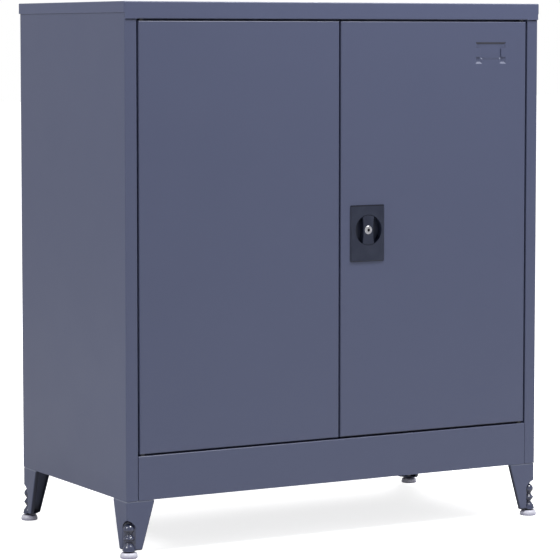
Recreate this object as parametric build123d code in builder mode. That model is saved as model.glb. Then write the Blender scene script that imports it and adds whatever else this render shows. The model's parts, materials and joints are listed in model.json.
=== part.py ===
from build123d import *
from math import atan2, cos, hypot, pi, sin, sqrt, tan
import os

# Two-door sheet-steel cabinet on four pressed legs.
# +Z is up, the doors face -Y, and the origin is on the floor under the middle of the body.

# Body, in millimetres
body_width = 896
body_depth = 456
body_height = 902
leg_height = 91
foot_height = 13
panel_sheet = 0.8
bend_radius = 2.0
fit_gap = 0.3

# Cover, which caps the body and carries the header over the doors
cover_overhang = 2
cover_front = 31.2
cover_side = 20

# Front frame: stiles beside the doors, stops behind them, apron below them
stile_width = 24
stop_depth = 21
stop_width = 14
stop_drop = 14
apron_height = 80.8
base_lip = 20
base_flange = 56
apron_gap = 1
apron_return = 12
header_gap = 1.5
edge_flange = 20

# Doors
door_thickness = 18
door_gap = 3.6
door_return = 14
pivot_inset = 7.4
pivot_depth = 6.5
pivot_radius = 3
pivot_length = 7
running_gap = 0.05
bush_radius = 4.4
bush_flange = 1.2
bush_rim = 1.2
bush_tail = 3
collar_height = 2.1
pin_head = 2
pin_head_radius = 4.4
stiffener_width = 50
stiffener_depth = 14
stiffener_foot = 13

# Card holder pressed into the right door
card_width = 71
card_height = 34
card_step = 7.6
card_step_width = 15.5
card_depth = 2.1
card_slope = 4
card_from_top = 39.4
card_from_hinge = 46
tongue_length = 11.3
tongue_height = 17.3
tongue_from_top = 11

# Lock on the right door, seen from the front
lock_from_edge = 59.6
lock_above_apron = 393.8
plate_width = 75
plate_height = 107.2
plate_above_lock = 47.3
plate_left_of_lock = 39.2
plate_proud = 3
plate_bevel = 2.2
plate_margin = 3.5
plate_corner = 3
clamp_thickness = 1.2
clamp_corner = 3
boss_radius = 3.5
boss_clear = 3
pilot_radius = 1.5
lock_screw_head_radius = 3
lock_screw_head = 2
dish_radius = 28.7
dish_depth = 14.7
dish_wall = 1.5
grip_width = 21
grip_end_width = 27
grip_round = 1.2
rotor_thickness = 2.2
spindle_radius = 8.2
square_size = 8
plug_radius = 6.4
plug_length = 15
ring_radius = 8
ring_height = 1.4
keyway_radius = 2.7
keyway_depth = 5
key_slot_width = 1.15
key_slot_height = 7.8

# Locking bars and the cam plate that drives them
bar_width = 10
bar_thickness = 3
bar_travel = 14
bar_tip_gap = 0.5
bar_slot_play = 1
cam_radius = 33
cam_thickness = 2.5
cam_start_radius = 14
cam_pin_radius = 2.5
cam_slot_play = 0.1
spiral_points = 6
latch_reach = 10
latch_width = 14
guide_width = 24
guide_height = 20
guide_play = 0.3
guide_wall = 1
guide_from_end = 40
guide_from_lock = 110
cam_screw_radius = 5.5
cam_screw_head = 3

# Shelves on slotted uprights
shelf_height = 25
shelf_return = 14
shelf_front_gap = 15
shelf_back_gap = 6
shelf_side_gap = 1
lower_shelf_height = 230
upper_shelf_height = 530
upright_width = 30
upright_depth = 12
upright_foot = 9
slot_pitch = 50
slot_width = 18
slot_height = 4
slot_margin = 30
clip_sheet = 1.5
clip_width = 16
clip_ledge = 15
clip_drop = 18
clip_hook = 6

# Pressed legs
leg_top_width = 58
leg_bottom_width = 32
leg_sheet = 1.5
leg_inset = 0.4
leg_bend = 3
leg_lip = 7
dent_reach = 18.4
dent_top = 34
dent_fall = 0.35
bead_radius = 9.2
valley_radius = 7.2
rim_radius = 12.2
rim_waist = 8.6
rim_round = 2
lower_bead_height = 15.5
rim_height = 14.5
dome_drop = 8
bead_slope = 3
shoulder_waist = 0.4

# Levelling feet
foot_inset = 8.2
pad_radius = 16
pad_rim = 5
pad_chamfer = 1
pad_dome = 10
pad_neck = 6.5
stud_radius = 4
stud_length = 36
stud_chamfer = 1
thread_play = 0.08
sleeve_radius = 5
sleeve_length = 22
lock_nut_flat = 13

# Fasteners
bolt_radius = 3
bolt_head = 4
bolt_flat = 10
bolt_end = 1
nut_height = 5
nut_flat = 10
bolt_near = 20
bolt_far = 42
weld_stud_radius = 2.5
weld_stud_length = 11
weld_nut_height = 4
weld_nut_flat = 8
screw_radius = 2.4
screw_length = 9
screw_head_radius = 4.6
screw_head = 2.4
screw_point = 1
bumper_radius = 3
bumper_from_middle = 32
bumper_drop = 1.5

# Heights and faces that follow from the sizes above
half_width = body_width / 2
half_depth = body_depth / 2
base_z = foot_height + leg_height
top_z = base_z + body_height
ledge_z = base_z + apron_height
floor_z = ledge_z + stop_drop
lip_z = top_z - cover_front
cover_under = top_z - panel_sheet
stop_y = stop_depth - half_depth
inner_bend = bend_radius - panel_sheet
skin_x = half_width - panel_sheet
opening_x = half_width - stile_width
apron_x = opening_x - apron_gap
back_y = half_depth - panel_sheet
door_bottom = ledge_z + door_gap
door_top = lip_z - door_gap
door_outer = opening_x - door_gap
door_inner = door_gap / 2
door_back = door_thickness - half_depth
pivot_x = door_outer - pivot_inset
pivot_y = pivot_depth - half_depth
lock_x = door_inner + lock_from_edge
lock_z = ledge_z + lock_above_apron
plate_y = -half_depth - plate_proud
dish_floor = plate_y + dish_depth
cam_front = door_back + fit_gap
cam_back = cam_front + cam_thickness
bar_back = door_back
bar_middle = bar_back - bar_thickness / 2
upright_x = skin_x - upright_depth
upright_middle = -stop_y - panel_sheet - upright_foot - upright_width / 2 - fit_gap
guide_back = bar_back + guide_play + guide_wall
corners = [("front_left", -1, -1), ("front_right", 1, -1), ("rear_left", -1, 1), ("rear_right", 1, 1)]

os.makedirs("parts", exist_ok=True)


def save(piece, label):
    piece.part.label = label
    export_step(piece.part, f"parts/{label}.step")


def folded_sheet(plane, points, side, sheet=panel_sheet, radius=bend_radius):
    # Section of a folded sheet: one face of it as a bent line, with the sheet on the given side.
    with BuildSketch(plane) as section:
        with BuildLine():
            FilletPolyline(*points, radius=radius)
            offset(amount=sheet, side=side)
        make_face()
    return section.sketch


def slab(x_range, y_range, z_range, mode=Mode.ADD):
    # A plain block between two corners, for flanges, cuts and notches.
    low = Vector(min(x_range), min(y_range), min(z_range))
    high = Vector(max(x_range), max(y_range), max(z_range))
    size = high - low
    with Locations((low + high) / 2):
        Box(size.X, size.Y, size.Z, mode=mode)


def front_plane(x, y, z):
    # Drawing plane facing the front: local x is +X, local y is +Z, and out is -Y.
    return Plane(origin=(x, y, z), x_dir=(1, 0, 0), z_dir=(0, -1, 0))


def side_section(x):
    # Drawing plane across the cabinet: local x is +Y, local y is +Z, and out is +X.
    return Plane(origin=(x, 0, 0), x_dir=(0, 1, 0), z_dir=(1, 0, 0))


def round_bar(x, y, low, high, radius, mode=Mode.ADD):
    # An upright cylinder, for pins, bushes and round holes.
    with Locations((x, y, low)):
        Cylinder(radius, high - low, align=(Align.CENTER, Align.CENTER, Align.MIN), mode=mode)


def ball_arc(start, end):
    # Arc of a turned profile whose centre is on the axis, so that it turns into part of a ball.
    centre = (start[0] ** 2 + start[1] ** 2 - end[0] ** 2 - end[1] ** 2) / (2 * (start[1] - end[1]))
    radius = hypot(start[0], start[1] - centre)
    height = (start[1] + end[1]) / 2
    ThreePointArc(start, (sqrt(radius ** 2 - (height - centre) ** 2), height), end)


# Cover: a shallow tray upside down, with the header channel folded along its front edge
cover_x = half_width + cover_overhang
cover_y = half_depth + cover_overhang
bush_hole = bush_radius + running_gap
bar_slot_width = bar_width + 2 * bar_slot_play
bar_slot_depth = bar_thickness + 2 * bar_slot_play

with BuildPart() as top_cover:
    slab((-cover_x, cover_x), (-cover_y, cover_y), (top_z - cover_side, top_z))
    top_edges = top_cover.faces().sort_by(Axis.Z)[-1].edges()
    fillet(top_edges + top_cover.edges().filter_by(Axis.Z), bend_radius)
    offset(amount=-panel_sheet, openings=top_cover.faces().sort_by(Axis.Z)[0])
    slab((-cover_x + bend_radius, cover_x - bend_radius), (-cover_y, panel_sheet - cover_y),
         (lip_z + bend_radius, top_z - bend_radius))
    header = [(-cover_y, top_z - cover_side), (-cover_y, lip_z), (stop_y, lip_z), (stop_y, lip_z - stop_drop)]
    extrude(folded_sheet(side_section(-apron_x), header, Side.LEFT), amount=2 * apron_x)
    for side in (-1, 1):
        slab((side * (cover_x - bend_radius), side * apron_x), (-cover_y, panel_sheet - cover_y),
             (lip_z, lip_z + bend_radius))
        round_bar(side * pivot_x, pivot_y, lip_z, lip_z + panel_sheet, bush_hole, Mode.SUBTRACT)
    slab((lock_x - bar_slot_width / 2, lock_x + bar_slot_width / 2),
         (bar_middle - bar_slot_depth / 2, bar_middle + bar_slot_depth / 2),
         (lip_z, lip_z + panel_sheet), mode=Mode.SUBTRACT)
save(top_cover, "top_cover")


# Side panels: skin, rear flange, front stile, jamb and door stop folded from one sheet
leg_corner = (leg_inset - half_width, leg_inset - half_depth)
leg_bolt_places = [
    (leg_corner[0] + bolt_near, leg_corner[1] + bolt_far),
    (leg_corner[0] + bolt_far, leg_corner[1] + bolt_near),
]
cover_stud_x = skin_x - (edge_flange - panel_sheet) / 2
cover_stud_rows = [-body_depth / 4, 0, body_depth / 4]
back_screw_x = half_width - edge_flange / 2
back_screw_count = 4
back_screw_step = (cover_under - floor_z) / back_screw_count
back_screw_rows = [floor_z + back_screw_step * (n + 0.5) for n in range(back_screw_count)]

with BuildPart() as left_side_panel:
    section = [
        (-half_width + edge_flange, half_depth),
        (-half_width, half_depth),
        (-half_width, -half_depth),
        (-opening_x, -half_depth),
        (-opening_x, stop_y),
        (-opening_x + stop_width, stop_y),
    ]
    extrude(folded_sheet(Plane.XY.offset(base_z), section, Side.LEFT), amount=cover_under - base_z)
    stop_span = (-opening_x, -opening_x + stop_width)
    stop_sheet = (stop_y - bend_radius, stop_y + 2 * panel_sheet)
    slab(stop_span, stop_sheet, (base_z, floor_z + fit_gap), mode=Mode.SUBTRACT)
    slab(stop_span, stop_sheet, (lip_z - stop_drop - fit_gap, cover_under), mode=Mode.SUBTRACT)
    slab((bend_radius - half_width, -opening_x - bend_radius), (-half_depth, panel_sheet - half_depth),
         (lip_z - header_gap, cover_under), mode=Mode.SUBTRACT)
    flange_back = back_y - panel_sheet - fit_gap
    slab((-skin_x, base_flange - half_width), (panel_sheet + fit_gap - half_depth, flange_back),
         (base_z, base_z + panel_sheet))
    slab((-skin_x, edge_flange - half_width), (stop_y + 2 * panel_sheet, flange_back),
         (cover_under - panel_sheet, cover_under))
    for x, y in leg_bolt_places:
        for end in (-1, 1):
            round_bar(x, end * y, base_z, base_z + panel_sheet, bolt_radius + thread_play, Mode.SUBTRACT)
    for y in cover_stud_rows:
        round_bar(-cover_stud_x, y, cover_under - panel_sheet, cover_under, weld_stud_radius + thread_play,
                  Mode.SUBTRACT)
    with BuildSketch(front_plane(0, back_y, 0)):
        with Locations(*[(-back_screw_x, z) for z in back_screw_rows]):
            Circle(screw_radius + thread_play)
    extrude(amount=-panel_sheet, mode=Mode.SUBTRACT)
save(left_side_panel, "left_side_panel")

with BuildPart() as right_side_panel:
    mirror(left_side_panel.part, about=Plane.YZ)
save(right_side_panel, "right_side_panel")


# Back panel: a flat sheet screwed to the side panels, folded forward along its foot and head
back_x = skin_x - inner_bend - fit_gap
back_fold_x = half_width - edge_flange - fit_gap

with BuildPart() as back_panel:
    slab((-back_x, back_x), (back_y - panel_sheet, back_y),
         (floor_z + bend_radius, cover_under - bend_radius))
    folds = [
        (back_y - edge_flange, floor_z),
        (back_y, floor_z),
        (back_y, cover_under),
        (back_y - edge_flange, cover_under),
    ]
    extrude(folded_sheet(side_section(-back_fold_x), folds, Side.LEFT), amount=2 * back_fold_x)
    with BuildSketch(front_plane(0, back_y - panel_sheet, 0)):
        with Locations(*[(side * back_screw_x, z) for side in (-1, 1) for z in back_screw_rows]):
            Circle(screw_radius + thread_play)
    extrude(amount=-panel_sheet, mode=Mode.SUBTRACT)
save(back_panel, "back_panel")


# Floor: lip, apron, ledge under the doors, riser that stops them, floor, and rear skirt in one folded sheet
lip_x = half_width - base_flange - fit_gap
floor_x = skin_x - fit_gap
skirt_x = floor_x - inner_bend
rear_floor_y = stop_y + panel_sheet + bend_radius

with BuildPart() as floor_pan:
    section = [
        (base_lip - half_depth, base_z),
        (-half_depth, base_z),
        (-half_depth, ledge_z),
        (stop_y, ledge_z),
        (stop_y, floor_z),
        (back_y, floor_z),
        (back_y, base_z),
        (back_y - base_lip, base_z),
    ]
    apron_section = section[1:5] + [(rear_floor_y + bend_radius, floor_z)]
    floor_section = [(rear_floor_y, floor_z), (back_y, floor_z), (back_y, base_z)]
    for half_span, points in ((lip_x, section), (apron_x, apron_section), (skirt_x, floor_section)):
        extrude(folded_sheet(side_section(-half_span), points, Side.RIGHT), amount=2 * half_span)
    for side in (-1, 1):
        slab((side * floor_x, side * skirt_x), (rear_floor_y, back_y - bend_radius),
             (floor_z - panel_sheet, floor_z))
        slab((side * floor_x, side * (floor_x - panel_sheet)), (rear_floor_y, back_y - bend_radius),
             (floor_z - edge_flange, floor_z - panel_sheet))
        slab((side * apron_x, side * (apron_x - panel_sheet)),
             (panel_sheet - half_depth, apron_return - half_depth),
             (base_z + bend_radius, ledge_z - panel_sheet))
        round_bar(side * pivot_x, pivot_y, ledge_z - panel_sheet, ledge_z, bush_hole, Mode.SUBTRACT)
    slab((lock_x - bar_slot_width / 2, lock_x + bar_slot_width / 2),
         (bar_middle - bar_slot_depth / 2, bar_middle + bar_slot_depth / 2),
         (ledge_z - panel_sheet, ledge_z), mode=Mode.SUBTRACT)
save(floor_pan, "floor_pan")


# Uprights: hat sections on the side panels, with a column of slots for the shelf clips
upright_top = cover_under - panel_sheet - fit_gap
slot_count = int((upright_top - floor_z - 2 * slot_margin) / slot_pitch) + 1
slot_rows = [floor_z + slot_margin + slot_pitch * n for n in range(slot_count)]


with BuildPart() as pressed_upright:
    low = -upright_middle - upright_width / 2
    high = low + upright_width
    web = upright_x + panel_sheet
    section = [
        (-skin_x, low - upright_foot),
        (-skin_x, low),
        (-web, low),
        (-web, high),
        (-skin_x, high),
        (-skin_x, high + upright_foot),
    ]
    extrude(folded_sheet(Plane.XY.offset(floor_z), section, Side.RIGHT, radius=panel_sheet),
            amount=upright_top - floor_z)
    with BuildSketch(Plane(origin=(-web, -upright_middle, 0), x_dir=(0, 1, 0), z_dir=(1, 0, 0))):
        with Locations(*[(0, z) for z in slot_rows]):
            Rectangle(slot_width, slot_height)
    extrude(amount=2 * panel_sheet, both=True, mode=Mode.SUBTRACT)


def turned_to(piece, side, end):
    # The front left piece, mirrored to the corner on that side and end.
    with BuildPart() as turned:
        add(piece.part)
        if side > 0:
            mirror(about=Plane.YZ, mode=Mode.REPLACE)
        if end > 0:
            mirror(about=Plane.XZ, mode=Mode.REPLACE)
    return turned


for corner, side, end in corners:
    save(turned_to(pressed_upright, side, end), f"{corner}_upright")


# Shelves: trays folded on all four sides, resting on clips hooked into the slots
def shelf_seat(height):
    # Top of the clip's ledge when its hook rests on the bottom edge of the slot nearest to that height.
    slot = floor_z + slot_margin + slot_pitch * round((height - slot_margin) / slot_pitch)
    return slot - slot_height / 2 + clip_sheet + clip_drop


shelf_x = upright_x - shelf_side_gap
shelf_front = stop_y + panel_sheet + shelf_front_gap
shelf_back = back_y - panel_sheet - shelf_back_gap
shelves = [("lower_shelf", shelf_seat(lower_shelf_height)), ("upper_shelf", shelf_seat(upper_shelf_height))]

for label, seat in shelves:
    with BuildPart() as shelf:
        slab((-shelf_x, shelf_x), (shelf_front, shelf_back), (seat, seat + shelf_height))
        fillet(shelf.faces().sort_by(Axis.Z)[-1].edges(), bend_radius)
        offset(amount=-panel_sheet, openings=shelf.faces().sort_by(Axis.Z)[0])
        with BuildSketch(Plane(origin=(0, (shelf_front + shelf_back) / 2, seat))):
            Rectangle(2 * shelf_x, shelf_back - shelf_front)
            Rectangle(2 * (shelf_x - shelf_return), shelf_back - shelf_front - 2 * shelf_return,
                      mode=Mode.SUBTRACT)
        extrude(amount=panel_sheet)
    save(shelf, label)

with BuildPart() as shelf_clips:
    for label, seat in shelves:
        hook_x = -upright_x - panel_sheet - fit_gap
        section = [
            (clip_ledge - upright_x, seat),
            (-upright_x, seat),
            (-upright_x, seat - clip_drop),
            (hook_x, seat - clip_drop),
            (hook_x, seat - clip_drop + clip_hook),
        ]
        clip_side = front_plane(0, clip_width / 2 - upright_middle, 0)
        extrude(folded_sheet(clip_side, section, Side.LEFT, sheet=clip_sheet, radius=0), amount=clip_width)
    mirror(about=Plane.YZ)
    mirror(about=Plane.XZ)
save(shelf_clips, "shelf_clips")


# Legs: tapered corner pressings, open behind, with a beaded dent down the outer corner
bead_axis = (leg_corner[0] + foot_inset, leg_corner[1] + foot_inset)
dent_half = dent_reach / sqrt(2)
dent_height = leg_height - dent_top
diagonal = Vector(1, 1, 0).normalized()
dent_run = diagonal - Vector(0, 0, dent_fall)
leg_low = foot_height
leg_high = base_z


def leg_outline(plane, corner, start, inset, low, high):
    # Side view of the leg, upright on its outer side and tapered on the other.
    taper = (leg_top_width - leg_bottom_width) / leg_height
    outer = corner + start
    foot_edge = corner + leg_bottom_width + taper * (low - leg_low) - inset
    head_edge = corner + leg_bottom_width + taper * (high - leg_low) - inset
    with BuildSketch(plane) as outline:
        with BuildLine():
            Polyline((outer, low), (foot_edge, low), (head_edge, high), (outer, high), close=True)
        make_face()
    return outline.sketch


def tapered_block(start, inset, low, high):
    # A block that starts at the leg's outer corner and follows the taper of its two inner faces.
    # Its edges are rounded where it starts inside the leg's bend, so that all its folds are one sheet thick.
    with BuildPart() as block:
        extrude(leg_outline(front_plane(0, 0, 0), leg_corner[0], start, inset, low, high), amount=body_depth)
        extrude(leg_outline(side_section(0), leg_corner[1], start, inset, low, high), amount=-body_width,
                mode=Mode.INTERSECT)
        if start < leg_bend:
            fillet(block.edges(), leg_bend - start)
    return block


def corner_dent(grow):
    # A passage cut square to the corner, open at the foot of the leg. Its arched roof falls as it goes in.
    width = dent_half + grow
    straight = dent_height - dent_half
    crown = dent_height + grow * dent_run.length
    plane = Plane(origin=(*leg_corner, leg_low), x_dir=(-1, 1, 0), z_dir=diagonal)
    with BuildPart() as passage:
        with BuildSketch(plane) as arch:
            with BuildLine():
                Polyline((-width, straight), (-width, -leg_sheet), (width, -leg_sheet), (width, straight))
                ThreePointArc((width, straight), (0, crown), (-width, straight))
            make_face()
        extrude(arch.sketch, amount=(dent_half + grow) * dent_run.length, dir=dent_run)
    return passage


rim_top = leg_low + rim_height
bead_top = rim_top + lower_bead_height
dome_top = leg_low + dent_height - dome_drop
dome_middle = dome_top - bead_radius
stud_axis = Axis((bead_axis[0], bead_axis[1], 0), (0, 0, 1))


def bead_profile():
    # Half section of the dome and the bead that stand above the foot rim, on the axis of the levelling stud.
    shoulder = (bead_radius - shoulder_waist, (bead_top + dome_middle) / 2)
    with BuildSketch(front_plane(bead_axis[0], bead_axis[1], 0)) as profile:
        with BuildLine():
            Polyline((0, dome_top), (0, rim_top - leg_sheet), (valley_radius, rim_top - leg_sheet),
                     (valley_radius, rim_top))
            ThreePointArc((valley_radius, rim_top), (bead_radius, (rim_top + bead_top) / 2),
                          (valley_radius, bead_top))
            ThreePointArc((valley_radius, bead_top), shoulder, (bead_radius, dome_middle))
            ball_arc((bead_radius, dome_middle), (0, dome_top))
        make_face()
    return profile.sketch


def bead_bore():
    # Half section of the hollow behind the dome and the bead, one sheet inside them.
    bead = bead_radius - leg_sheet
    valley = valley_radius - leg_sheet
    with BuildSketch(front_plane(bead_axis[0], bead_axis[1], 0)) as profile:
        with BuildLine():
            Polyline((0, dome_top - leg_sheet), (0, leg_low + leg_sheet), (valley, leg_low + leg_sheet),
                     (valley, rim_top), (bead, rim_top + bead_slope), (bead, bead_top - bead_slope),
                     (valley, bead_top), (bead, bead_top + bead_slope), (bead, dome_middle))
            ball_arc((bead, dome_middle), (0, dome_top - leg_sheet))
        make_face()
    return profile.sketch


def rim_profile(shrink):
    # Half section of the rim, which spreads towards the foot and just meets the sharp line of the corner.
    low = leg_low + shrink
    high = rim_top - shrink
    with BuildSketch(front_plane(bead_axis[0], bead_axis[1], 0)) as profile:
        with BuildLine():
            Polyline((0, low), (rim_radius - shrink, low), (rim_waist - shrink, high), (0, high), close=True)
        make_face()
        fillet(profile.vertices().group_by(Axis.Y)[-1].sort_by(Axis.X)[-1], rim_round - shrink)
    return profile.sketch


dent_back = Plane(origin=Vector(*leg_corner, 0) + diagonal * (dent_half + leg_sheet), z_dir=diagonal)

inner_low = leg_low + leg_sheet
inner_high = leg_high - leg_sheet

leg_block = tapered_block(0, 0, leg_low, leg_high)
leg_inside = tapered_block(leg_sheet, leg_sheet, inner_low, inner_high)
leg_opening = tapered_block(leg_lip, -leg_sheet, inner_low, inner_high)

with BuildPart() as leg_hollow:
    add(leg_inside.part)
    add(leg_opening.part)
    add(corner_dent(leg_sheet).part, mode=Mode.SUBTRACT)

with BuildPart() as bead_shell:
    revolve(bead_profile(), axis=stud_axis)
    revolve(rim_profile(0), axis=stud_axis)
    split(bisect_by=dent_back, keep=Keep.BOTTOM)

with BuildPart() as pressed_leg:
    add(leg_block.part)
    add(corner_dent(0).part, mode=Mode.SUBTRACT)
    add(leg_hollow.part, mode=Mode.SUBTRACT)
    add(bead_shell.part)
    revolve(rim_profile(leg_sheet), axis=stud_axis, mode=Mode.SUBTRACT)
    revolve(bead_bore(), axis=stud_axis, mode=Mode.SUBTRACT)
    round_bar(*bead_axis, leg_low, inner_low, stud_radius + thread_play, Mode.SUBTRACT)
    for x, y in leg_bolt_places:
        round_bar(x, y, inner_high, leg_high, bolt_radius + thread_play, Mode.SUBTRACT)

for corner, side, end in corners:
    save(turned_to(pressed_leg, side, end), f"{corner}_leg")


# Levelling feet: a domed pad on a threaded stud, which turns in a sleeve welded inside the leg
with BuildPart() as turned_foot:
    with BuildSketch(front_plane(bead_axis[0], bead_axis[1], 0)):
        with BuildLine():
            Polyline((0, stud_length), (0, 0), (pad_radius - pad_chamfer, 0), (pad_radius, pad_chamfer),
                     (pad_radius, pad_rim))
            ball_arc((pad_radius, pad_rim), (pad_neck, pad_dome))
            Polyline((pad_neck, pad_dome), (stud_radius, pad_dome), (stud_radius, stud_length - stud_chamfer),
                     (stud_radius - stud_chamfer, stud_length), (0, stud_length))
        make_face()
    revolve(axis=stud_axis)

for corner, side, end in corners:
    save(turned_to(turned_foot, side, end), f"{corner}_foot")

with BuildPart() as leg_sleeves:
    round_bar(*bead_axis, inner_low, inner_low + sleeve_length, sleeve_radius)
    round_bar(*bead_axis, inner_low, inner_low + sleeve_length, stud_radius + thread_play, Mode.SUBTRACT)
    mirror(about=Plane.YZ)
    mirror(about=Plane.XZ)
save(leg_sleeves, "leg_sleeves")

lock_nut_height = foot_height - pad_dome - fit_gap

with BuildPart() as foot_lock_nuts:
    with BuildSketch(Plane(origin=(*bead_axis, leg_low))):
        RegularPolygon(lock_nut_flat / 2, 6, major_radius=False)
        Circle(stud_radius + thread_play, mode=Mode.SUBTRACT)
    extrude(amount=-lock_nut_height)
    mirror(about=Plane.YZ)
    mirror(about=Plane.XZ)
save(foot_lock_nuts, "foot_lock_nuts")


# Bolts and nuts that hold the legs to the body
def hexagon(x, y, low, high, flat):
    # An upright hexagonal head or nut, measured across its flats.
    with BuildSketch(Plane(origin=(x, y, low))) as end:
        RegularPolygon(flat / 2, 6, major_radius=False)
    extrude(end.sketch, amount=high - low)


flange_top = base_z + panel_sheet

with BuildPart() as leg_bolts:
    for place in leg_bolt_places:
        hexagon(*place, leg_high - leg_sheet - bolt_head, leg_high - leg_sheet, bolt_flat)
        round_bar(*place, leg_high - leg_sheet, flange_top + nut_height + bolt_end, bolt_radius)
    mirror(about=Plane.YZ)
    mirror(about=Plane.XZ)
save(leg_bolts, "leg_bolts")

with BuildPart() as leg_nuts:
    for place in leg_bolt_places:
        hexagon(*place, flange_top, flange_top + nut_height, nut_flat)
        round_bar(*place, flange_top, flange_top + nut_height, bolt_radius + thread_play, Mode.SUBTRACT)
    mirror(about=Plane.YZ)
    mirror(about=Plane.XZ)
save(leg_nuts, "leg_nuts")


# Weld studs under the cover, and the nuts that draw it down on the side panels
cover_nut_top = cover_under - panel_sheet

with BuildPart() as cover_studs:
    for y in cover_stud_rows:
        round_bar(-cover_stud_x, y, cover_under - weld_stud_length, cover_under, weld_stud_radius)
    mirror(about=Plane.YZ)
save(cover_studs, "cover_studs")

with BuildPart() as cover_nuts:
    for y in cover_stud_rows:
        hexagon(-cover_stud_x, y, cover_nut_top - weld_nut_height, cover_nut_top, weld_nut_flat)
        round_bar(-cover_stud_x, y, cover_nut_top - weld_nut_height, cover_nut_top,
                  weld_stud_radius + thread_play, Mode.SUBTRACT)
    mirror(about=Plane.YZ)
save(cover_nuts, "cover_nuts")


# Pan-head screws that hold the back panel, driven from behind
with BuildPart() as back_screws:
    for z in back_screw_rows:
        for side in (-1, 1):
            axis_plane = Plane(origin=(side * back_screw_x, half_depth, z), x_dir=(1, 0, 0), z_dir=(0, 0, 1))
            with BuildSketch(axis_plane):
                with BuildLine():
                    Polyline((screw_head_radius, 0), (screw_radius, 0),
                             (screw_radius, screw_point - screw_length),
                             (screw_radius - screw_point, -screw_length), (0, -screw_length), (0, screw_head))
                    ball_arc((screw_head_radius, 0), (0, screw_head))
                make_face()
            revolve(axis=Axis(axis_plane.origin, (0, 1, 0)))
save(back_screws, "back_screws")


# Pivot bushes in the header and the ledge
with BuildPart() as pivot_bushes:
    for x in (-pivot_x, pivot_x):
        for face, out in ((lip_z, -1), (ledge_z, 1)):
            rim_face = face + out * bush_flange
            tail = face - out * (panel_sheet + bush_tail)
            round_bar(x, pivot_y, min(face, rim_face), max(face, rim_face), bush_radius + bush_rim)
            round_bar(x, pivot_y, min(face, tail), max(face, tail), bush_radius)
            round_bar(x, pivot_y, min(tail, rim_face), max(tail, rim_face), pivot_radius + running_gap,
                      Mode.SUBTRACT)
save(pivot_bushes, "pivot_bushes")


# Rubber bumpers on the header and the riser, just behind the closed doors
bumper_rows = [(lip_z - door_gap - door_return / 2, 1), (door_bottom + door_return / 2 - bumper_drop, -1)]

with BuildPart() as door_bumpers:
    for z, level in bumper_rows:
        for side in (-1, 1):
            with BuildSketch(front_plane(side * bumper_from_middle, stop_y, z)):
                Circle(bumper_radius)
            extrude(amount=stop_y - door_back - fit_gap)
save(door_bumpers, "door_bumpers")


# Doors: pans folded back on all four sides, with returns behind
def pressed_door(side):
    near = side * door_inner
    far = side * door_outer
    width = abs(far - near)
    height = door_top - door_bottom
    with BuildPart() as pan:
        slab((near, far), (-half_depth, door_back), (door_bottom, door_top))
        fillet(pan.faces().sort_by(Axis.Y)[0].edges(), bend_radius)
        offset(amount=-panel_sheet, openings=pan.faces().sort_by(Axis.Y)[-1])
        with BuildSketch(front_plane((near + far) / 2, door_back, (door_bottom + door_top) / 2)):
            Rectangle(width, height)
            Rectangle(width - 2 * door_return, height - 2 * door_return, mode=Mode.SUBTRACT)
        extrude(amount=panel_sheet)
        for low in (door_bottom, door_top - panel_sheet):
            round_bar(side * pivot_x, pivot_y, low, low + panel_sheet, pivot_radius + running_gap,
                      Mode.SUBTRACT)
    return pan


save(pressed_door(-1), "left_door_panel")

card_right = door_outer - card_from_hinge
card_left = card_right - card_width
card_top = door_top - card_from_top
card_bottom = card_top - card_height
card_foot = card_bottom - card_step


# The pocket's sloped walls are one sheet thick, so their back starts a little outside their front.
card_grow = panel_sheet * tan(atan2(card_depth, card_slope) / 2)


def card_outline(y, grow):
    # A wide pocket with two short feet at its lower corners.
    left = card_left - grow
    right = card_right + grow
    top = card_top + grow
    bottom = card_bottom - grow
    foot = card_foot - grow
    step = card_step_width + 2 * grow
    with BuildSketch(front_plane(0, y, 0)) as outline:
        with BuildLine():
            Polyline((left, top), (right, top), (right, foot), (right - step, foot), (right - step, bottom),
                     (left + step, bottom), (left + step, foot), (left, foot), close=True)
        make_face()
    return outline.sketch


cutout_width = plate_width - 2 * plate_margin
cutout_height = plate_height - 2 * plate_margin
plate_x = lock_x - plate_left_of_lock + plate_width / 2
plate_z = lock_z + plate_above_lock - plate_height / 2
skin_back = panel_sheet - half_depth

right_pan = pressed_door(1)

with BuildPart() as right_door_panel:
    add(right_pan.part)
    back_mouth = card_outline(skin_back, card_grow)
    back_floor = card_outline(skin_back + card_depth, card_grow - card_slope)
    loft([back_mouth, back_floor], ruled=True)
    front_mouth = card_outline(-half_depth, 0)
    front_floor = card_outline(card_depth - half_depth, -card_slope)
    loft([front_mouth, front_floor], ruled=True, mode=Mode.SUBTRACT)
    tongue_z = card_top - tongue_from_top - tongue_height / 2
    for left in (card_left - panel_sheet, card_right - tongue_length):
        slab((left, left + tongue_length + panel_sheet), (-half_depth, skin_back),
             (tongue_z - tongue_height / 2, tongue_z + tongue_height / 2))
    with BuildSketch(front_plane(plate_x, -half_depth, plate_z)):
        Rectangle(cutout_width, cutout_height)
    extrude(amount=-panel_sheet, mode=Mode.SUBTRACT)
    notch = (lock_x - bar_slot_width / 2, lock_x + bar_slot_width / 2)
    for low, high in ((door_bottom, door_bottom + door_return), (door_top - door_return, door_top)):
        slab(notch, (bar_middle - bar_slot_depth / 2, door_back), (low, high), mode=Mode.SUBTRACT)
save(right_door_panel, "right_door_panel")


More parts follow.
